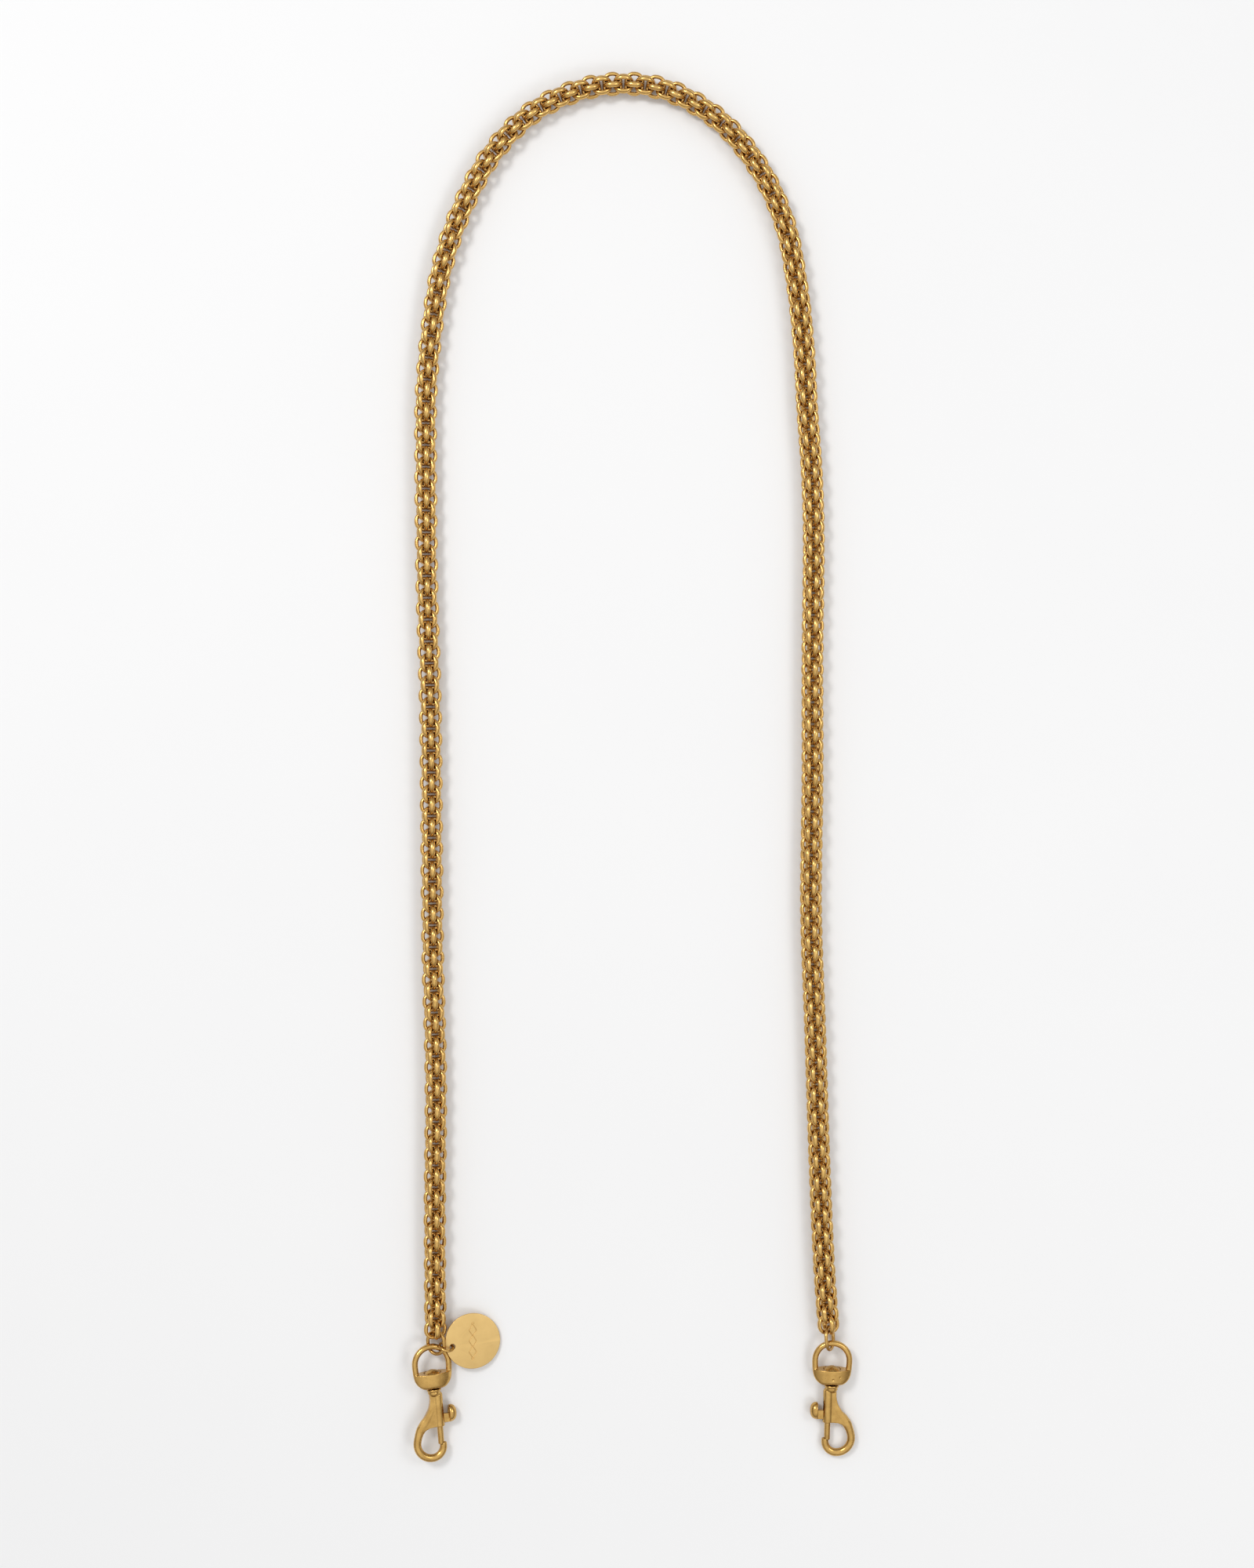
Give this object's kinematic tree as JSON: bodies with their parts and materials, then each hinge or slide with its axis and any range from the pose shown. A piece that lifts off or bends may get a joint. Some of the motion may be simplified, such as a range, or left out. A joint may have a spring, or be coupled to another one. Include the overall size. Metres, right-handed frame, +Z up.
{
  "type": "chain strap with swivel bolt snaps",
  "caption": "Satin brass cage-link chain strap with a swivel bolt snap at each end and a round hang tag on a jump ring.",
  "frame": {"origin": "middle of the box of the laid-out strap, on the surface it lies on", "axes": "+Z up from the surface; +Y from the snaps to the top of the arch; +X to the right"},
  "size_m": [0.1788, 0.5606, 0.0095],
  "materials": {
    "chain": "satin antique brass, darker between the bars",
    "links": "satin antique brass wire",
    "snaps": "cast, tumbled satin antique brass",
    "bolts": "turned satin brass",
    "tag": "fine brushed pale brass",
    "spring": "drawn spring wire"
  },
  "bodies": {
    "chain_segment_21": {"chain_segment_21": "chain"},
    "left_link": {"left_connecting_link": "links"},
    "left_eye": {"left_swivel_eye": "snaps"},
    "left_hook": {"left_hook_body": "snaps", "left_swivel_pin": "bolts", "left_bolt_spring": "spring"},
    "left_bolt": {"left_bolt": "bolts", "left_thumb_knob": "snaps"},
    "right_link": {"right_connecting_link": "links"},
    "right_eye": {"right_swivel_eye": "snaps"},
    "right_hook": {"right_hook_body": "snaps", "right_swivel_pin": "bolts", "right_bolt_spring": "spring"},
    "right_bolt": {"right_bolt": "bolts", "right_thumb_knob": "snaps"},
    "tag_ring": {"tag_jump_ring": "links"},
    "tag": {"tag": "tag"},
    "chain_segment_20": {"chain_segment_20": "chain"},
    "chain_segment_19": {"chain_segment_19": "chain"},
    "chain_segment_18": {"chain_segment_18": "chain"},
    "chain_segment_17": {"chain_segment_17": "chain"},
    "chain_segment_16": {"chain_segment_16": "chain"},
    "chain_segment_15": {"chain_segment_15": "chain"},
    "chain_segment_14": {"chain_segment_14": "chain"},
    "chain_segment_13": {"chain_segment_13": "chain"},
    "chain_segment_12": {"chain_segment_12": "chain"},
    "chain_segment_11": {"chain_segment_11": "chain"},
    "chain_segment_10": {"chain_segment_10": "chain"},
    "chain_segment_09": {"chain_segment_09": "chain"},
    "chain_segment_08": {"chain_segment_08": "chain"},
    "chain_segment_07": {"chain_segment_07": "chain"},
    "chain_segment_06": {"chain_segment_06": "chain"},
    "chain_segment_05": {"chain_segment_05": "chain"},
    "chain_segment_04": {"chain_segment_04": "chain"},
    "chain_segment_03": {"chain_segment_03": "chain"},
    "chain_segment_02": {"chain_segment_02": "chain"},
    "chain_segment_01": {"chain_segment_01": "chain"},
    "chain_segment_22": {"chain_segment_22": "chain"},
    "chain_segment_23": {"chain_segment_23": "chain"},
    "chain_segment_24": {"chain_segment_24": "chain"},
    "chain_segment_25": {"chain_segment_25": "chain"},
    "chain_segment_26": {"chain_segment_26": "chain"},
    "chain_segment_27": {"chain_segment_27": "chain"},
    "chain_segment_28": {"chain_segment_28": "chain"},
    "chain_segment_29": {"chain_segment_29": "chain"},
    "chain_segment_30": {"chain_segment_30": "chain"},
    "chain_segment_31": {"chain_segment_31": "chain"},
    "chain_segment_32": {"chain_segment_32": "chain"},
    "chain_segment_33": {"chain_segment_33": "chain"},
    "chain_segment_34": {"chain_segment_34": "chain"},
    "chain_segment_35": {"chain_segment_35": "chain"},
    "chain_segment_36": {"chain_segment_36": "chain"},
    "chain_segment_37": {"chain_segment_37": "chain"},
    "chain_segment_38": {"chain_segment_38": "chain"},
    "chain_segment_39": {"chain_segment_39": "chain"},
    "chain_segment_40": {"chain_segment_40": "chain"},
    "chain_segment_41": {"chain_segment_41": "chain"}
  },
  "joints": [
    {"name": "left_snap_lift", "type": "hinge", "parent": "chain_segment_01", "child": "left_link", "pos_m": [-0.08006, -0.2287, 0.0049], "axis": [1, 0, 0], "range_deg": [-15, 2]},
    {"name": "left_eye_swing", "type": "hinge", "parent": "left_link", "child": "left_eye", "pos_m": [-0.08091, -0.2353, 0.00509], "axis": [0, 0, 1], "range_deg": [-5, 4]},
    {"name": "left_hook_swivel", "type": "hinge", "parent": "left_eye", "child": "left_hook", "pos_m": [-0.0808, -0.25065, 0.0048], "axis": [-0.0784, 0.9965, 0.0279], "continuous": true},
    {"name": "left_bolt_slide", "type": "slide", "parent": "left_hook", "child": "left_bolt", "axis": [-0.0784, 0.9965, 0.0279], "range_m": [0, 0.0055], "stiffness_N_per_m": 250, "springref_m": -0.002, "deforming": ["left_bolt_spring"]},
    {"name": "right_snap_lift", "type": "hinge", "parent": "chain_segment_41", "child": "right_link", "pos_m": [0.07885, -0.22686, 0.0048], "axis": [1, 0, 0], "range_deg": [-10, 1]},
    {"name": "right_eye_swing", "type": "hinge", "parent": "right_link", "child": "right_eye", "pos_m": [0.07986, -0.23369, 0.00497], "axis": [0, 0, 1], "range_deg": [-20, 8]},
    {"name": "right_hook_swivel", "type": "hinge", "parent": "right_eye", "child": "right_hook", "pos_m": [0.07995, -0.2493, 0.0039], "axis": [0.0209, 0.9971, 0.0732], "continuous": true},
    {"name": "right_bolt_slide", "type": "slide", "parent": "right_hook", "child": "right_bolt", "axis": [0.0209, 0.9971, 0.0732], "range_m": [0, 0.0055], "stiffness_N_per_m": 250, "springref_m": -0.002, "deforming": ["right_bolt_spring"]},
    {"name": "tag_ring_swing", "type": "hinge", "parent": "left_link", "child": "tag_ring", "pos_m": [-0.07653, -0.23367, 0.00658], "axis": [0, 1, 0], "range_deg": [-40, 0.5]},
    {"name": "tag_turn", "type": "hinge", "parent": "tag_ring", "child": "tag", "pos_m": [-0.07327, -0.2339, 0.00468], "axis": [0.1977, 0, 0.9803], "range_deg": [-15, 6]},
    {"name": "strap_bend_20_21", "type": "hinge", "parent": "chain_segment_21", "child": "chain_segment_20", "pos_m": [-0.01947, 0.27402, 0.00475], "axis": [0, 0, 1], "range_deg": [-12, 12]},
    {"name": "strap_bend_19_20", "type": "hinge", "parent": "chain_segment_20", "child": "chain_segment_19", "pos_m": [-0.04313, 0.26264, 0.00475], "axis": [0, 0, -1], "range_deg": [-12, 12]},
    {"name": "strap_bend_18_19", "type": "hinge", "parent": "chain_segment_19", "child": "chain_segment_18", "pos_m": [-0.06048, 0.24283, 0.00475], "axis": [0, 0, 1], "range_deg": [-12, 12]},
    {"name": "strap_bend_17_18", "type": "hinge", "parent": "chain_segment_18", "child": "chain_segment_17", "pos_m": [-0.07199, 0.21907, 0.00475], "axis": [0, 0, -1], "range_deg": [-12, 12]},
    {"name": "strap_bend_16_17", "type": "hinge", "parent": "chain_segment_17", "child": "chain_segment_16", "pos_m": [-0.07917, 0.19367, 0.00475], "axis": [0, 0, 1], "range_deg": [-12, 12]},
    {"name": "strap_bend_15_16", "type": "hinge", "parent": "chain_segment_16", "child": "chain_segment_15", "pos_m": [-0.08265, 0.16747, 0.00475], "axis": [0, 0, -1], "range_deg": [-12, 12]},
    {"name": "strap_bend_14_15", "type": "hinge", "parent": "chain_segment_15", "child": "chain_segment_14", "pos_m": [-0.08411, 0.14108, 0.00475], "axis": [0, 0, 1], "range_deg": [-12, 12]},
    {"name": "strap_bend_13_14", "type": "hinge", "parent": "chain_segment_14", "child": "chain_segment_13", "pos_m": [-0.084, 0.11464, 0.00475], "axis": [0, 0, -1], "range_deg": [-12, 12]},
    {"name": "strap_bend_12_13", "type": "hinge", "parent": "chain_segment_13", "child": "chain_segment_12", "pos_m": [-0.08378, 0.0882, 0.00475], "axis": [0, 0, 1], "range_deg": [-12, 12]},
    {"name": "strap_bend_11_12", "type": "hinge", "parent": "chain_segment_12", "child": "chain_segment_11", "pos_m": [-0.08327, 0.06177, 0.00475], "axis": [0, 0, -1], "range_deg": [-12, 12]},
    {"name": "strap_bend_10_11", "type": "hinge", "parent": "chain_segment_11", "child": "chain_segment_10", "pos_m": [-0.08245, 0.03535, 0.00475], "axis": [0, 0, 1], "range_deg": [-12, 12]},
    {"name": "strap_bend_09_10", "type": "hinge", "parent": "chain_segment_10", "child": "chain_segment_09", "pos_m": [-0.08194, 0.00891, 0.00475], "axis": [0, 0, -1], "range_deg": [-12, 12]},
    {"name": "strap_bend_08_09", "type": "hinge", "parent": "chain_segment_09", "child": "chain_segment_08", "pos_m": [-0.08173, -0.01752, 0.00475], "axis": [0, 0, 1], "range_deg": [-12, 12]},
    {"name": "strap_bend_07_08", "type": "hinge", "parent": "chain_segment_08", "child": "chain_segment_07", "pos_m": [-0.08151, -0.04396, 0.00475], "axis": [0, 0, -1], "range_deg": [-12, 12]},
    {"name": "strap_bend_06_07", "type": "hinge", "parent": "chain_segment_07", "child": "chain_segment_06", "pos_m": [-0.08125, -0.0704, 0.00475], "axis": [0, 0, 1], "range_deg": [-12, 12]},
    {"name": "strap_bend_05_06", "type": "hinge", "parent": "chain_segment_06", "child": "chain_segment_05", "pos_m": [-0.08064, -0.09683, 0.00475], "axis": [0, 0, -1], "range_deg": [-12, 12]},
    {"name": "strap_bend_04_05", "type": "hinge", "parent": "chain_segment_05", "child": "chain_segment_04", "pos_m": [-0.07999, -0.12325, 0.00475], "axis": [0, 0, 1], "range_deg": [-12, 12]},
    {"name": "strap_bend_03_04", "type": "hinge", "parent": "chain_segment_04", "child": "chain_segment_03", "pos_m": [-0.08006, -0.14969, 0.00475], "axis": [0, 0, -1], "range_deg": [-12, 12]},
    {"name": "strap_bend_02_03", "type": "hinge", "parent": "chain_segment_03", "child": "chain_segment_02", "pos_m": [-0.08035, -0.17613, 0.00475], "axis": [0, 0, 1], "range_deg": [-12, 12]},
    {"name": "strap_bend_01_02", "type": "hinge", "parent": "chain_segment_02", "child": "chain_segment_01", "pos_m": [-0.08028, -0.20257, 0.00475], "axis": [0, 0, -1], "range_deg": [-12, 12]},
    {"name": "strap_bend_21_22", "type": "hinge", "parent": "chain_segment_21", "child": "chain_segment_22", "pos_m": [0.00675, 0.27501, 0.00475], "axis": [0, 0, -1], "range_deg": [-12, 12]},
    {"name": "strap_bend_22_23", "type": "hinge", "parent": "chain_segment_22", "child": "chain_segment_23", "pos_m": [0.03062, 0.26419, 0.00475], "axis": [0, 0, 1], "range_deg": [-12, 12]},
    {"name": "strap_bend_23_24", "type": "hinge", "parent": "chain_segment_23", "child": "chain_segment_24", "pos_m": [0.04855, 0.24495, 0.00475], "axis": [0, 0, -1], "range_deg": [-12, 12]},
    {"name": "strap_bend_24_25", "type": "hinge", "parent": "chain_segment_24", "child": "chain_segment_25", "pos_m": [0.06031, 0.22136, 0.00475], "axis": [0, 0, 1], "range_deg": [-12, 12]},
    {"name": "strap_bend_25_26", "type": "hinge", "parent": "chain_segment_25", "child": "chain_segment_26", "pos_m": [0.0658, 0.19554, 0.00475], "axis": [0, 0, -1], "range_deg": [-12, 12]},
    {"name": "strap_bend_26_27", "type": "hinge", "parent": "chain_segment_26", "child": "chain_segment_27", "pos_m": [0.06868, 0.16927, 0.00475], "axis": [0, 0, 1], "range_deg": [-12, 12]},
    {"name": "strap_bend_27_28", "type": "hinge", "parent": "chain_segment_27", "child": "chain_segment_28", "pos_m": [0.07014, 0.14288, 0.00475], "axis": [0, 0, -1], "range_deg": [-12, 12]},
    {"name": "strap_bend_28_29", "type": "hinge", "parent": "chain_segment_28", "child": "chain_segment_29", "pos_m": [0.07198, 0.1165, 0.00475], "axis": [0, 0, 1], "range_deg": [-12, 12]},
    {"name": "strap_bend_29_30", "type": "hinge", "parent": "chain_segment_29", "child": "chain_segment_30", "pos_m": [0.07265, 0.09008, 0.00475], "axis": [0, 0, -1], "range_deg": [-12, 12]},
    {"name": "strap_bend_30_31", "type": "hinge", "parent": "chain_segment_30", "child": "chain_segment_31", "pos_m": [0.07239, 0.06364, 0.00475], "axis": [0, 0, 1], "range_deg": [-12, 12]},
    {"name": "strap_bend_31_32", "type": "hinge", "parent": "chain_segment_31", "child": "chain_segment_32", "pos_m": [0.07213, 0.0372, 0.00475], "axis": [0, 0, -1], "range_deg": [-12, 12]},
    {"name": "strap_bend_32_33", "type": "hinge", "parent": "chain_segment_32", "child": "chain_segment_33", "pos_m": [0.07217, 0.01077, 0.00475], "axis": [0, 0, 1], "range_deg": [-12, 12]},
    {"name": "strap_bend_33_34", "type": "hinge", "parent": "chain_segment_33", "child": "chain_segment_34", "pos_m": [0.07205, -0.01567, 0.00475], "axis": [0, 0, -1], "range_deg": [-12, 12]},
    {"name": "strap_bend_34_35", "type": "hinge", "parent": "chain_segment_34", "child": "chain_segment_35", "pos_m": [0.07158, -0.0421, 0.00475], "axis": [0, 0, 1], "range_deg": [-12, 12]},
    {"name": "strap_bend_35_36", "type": "hinge", "parent": "chain_segment_35", "child": "chain_segment_36", "pos_m": [0.0718, -0.06854, 0.00475], "axis": [0, 0, -1], "range_deg": [-12, 12]},
    {"name": "strap_bend_36_37", "type": "hinge", "parent": "chain_segment_36", "child": "chain_segment_37", "pos_m": [0.0728, -0.09496, 0.00475], "axis": [0, 0, 1], "range_deg": [-12, 12]},
    {"name": "strap_bend_37_38", "type": "hinge", "parent": "chain_segment_37", "child": "chain_segment_38", "pos_m": [0.07371, -0.12138, 0.00475], "axis": [0, 0, -1], "range_deg": [-12, 12]},
    {"name": "strap_bend_38_39", "type": "hinge", "parent": "chain_segment_38", "child": "chain_segment_39", "pos_m": [0.07453, -0.1478, 0.00475], "axis": [0, 0, 1], "range_deg": [-12, 12]},
    {"name": "strap_bend_39_40", "type": "hinge", "parent": "chain_segment_39", "child": "chain_segment_40", "pos_m": [0.07554, -0.17422, 0.00475], "axis": [0, 0, -1], "range_deg": [-12, 12]},
    {"name": "strap_bend_40_41", "type": "hinge", "parent": "chain_segment_40", "child": "chain_segment_41", "pos_m": [0.07679, -0.20063, 0.00475], "axis": [0, 0, 1], "range_deg": [-12, 12]}
  ]
}
